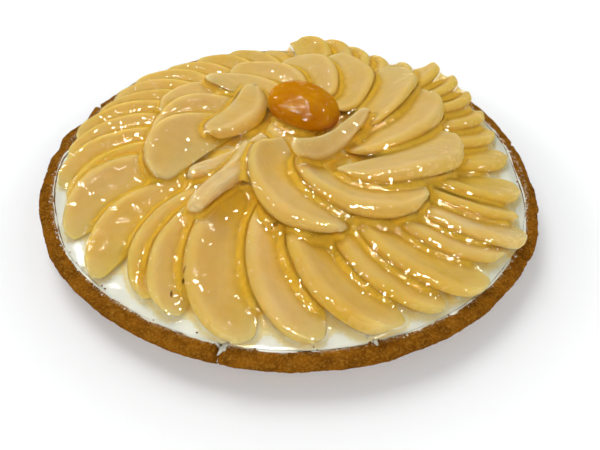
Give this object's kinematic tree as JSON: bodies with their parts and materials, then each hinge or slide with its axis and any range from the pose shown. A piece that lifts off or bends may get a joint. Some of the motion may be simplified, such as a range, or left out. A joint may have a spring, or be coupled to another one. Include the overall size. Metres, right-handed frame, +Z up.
{
  "type": "pear vlaai",
  "caption": "Round open tart with a low flared crust, a cream filling, two rings of overlapping glazed pear slices and half an apricot on top.",
  "frame": {"origin": "centre of the flat underside of the crust", "axes": "+Z up; +X and +Y level, the crack in the rim lies at about 100 degrees clockwise from +X seen from above"},
  "size_m": [0.2785, 0.2802, 0.0533],
  "materials": {
    "crust": "baked, crumbly, brown",
    "cream": "smooth set cream, softly glossy",
    "pear": "translucent fruit under clear glaze",
    "apricot": "translucent fruit under clear glaze"
  },
  "bodies": {
    "root": {"apricot": "apricot", "cream": "cream", "crust": "crust", "pear_beside_01": "pear", "pear_beside_02": "pear", "pear_inner_01": "pear", "pear_inner_02": "pear", "pear_inner_03": "pear", "pear_inner_04": "pear", "pear_inner_05": "pear", "pear_inner_06": "pear", "pear_inner_07": "pear", "pear_inner_08": "pear", "pear_inner_09": "pear", "pear_inner_10": "pear", "pear_inner_11": "pear", "pear_inner_12": "pear", "pear_inner_13": "pear", "pear_inner_14": "pear", "pear_middle_01": "pear", "pear_middle_02": "pear", "pear_outer_01": "pear", "pear_outer_02": "pear", "pear_outer_03": "pear", "pear_outer_04": "pear", "pear_outer_05": "pear", "pear_outer_06": "pear", "pear_outer_07": "pear", "pear_outer_08": "pear", "pear_outer_09": "pear", "pear_outer_10": "pear", "pear_outer_11": "pear", "pear_outer_12": "pear", "pear_outer_13": "pear", "pear_outer_14": "pear", "pear_outer_15": "pear", "pear_outer_16": "pear", "pear_outer_17": "pear", "pear_outer_18": "pear", "pear_outer_19": "pear", "pear_outer_20": "pear", "pear_outer_21": "pear", "pear_outer_22": "pear", "pear_outer_23": "pear", "pear_outer_24": "pear", "pear_outer_25": "pear", "pear_outer_26": "pear", "pear_outer_27": "pear", "pear_outer_28": "pear", "pear_outer_29": "pear", "pear_outer_30": "pear", "pear_outer_31": "pear", "pear_outer_32": "pear", "pear_outer_33": "pear", "pear_outer_34": "pear", "pear_outer_35": "pear"}
  },
  "joints": []
}
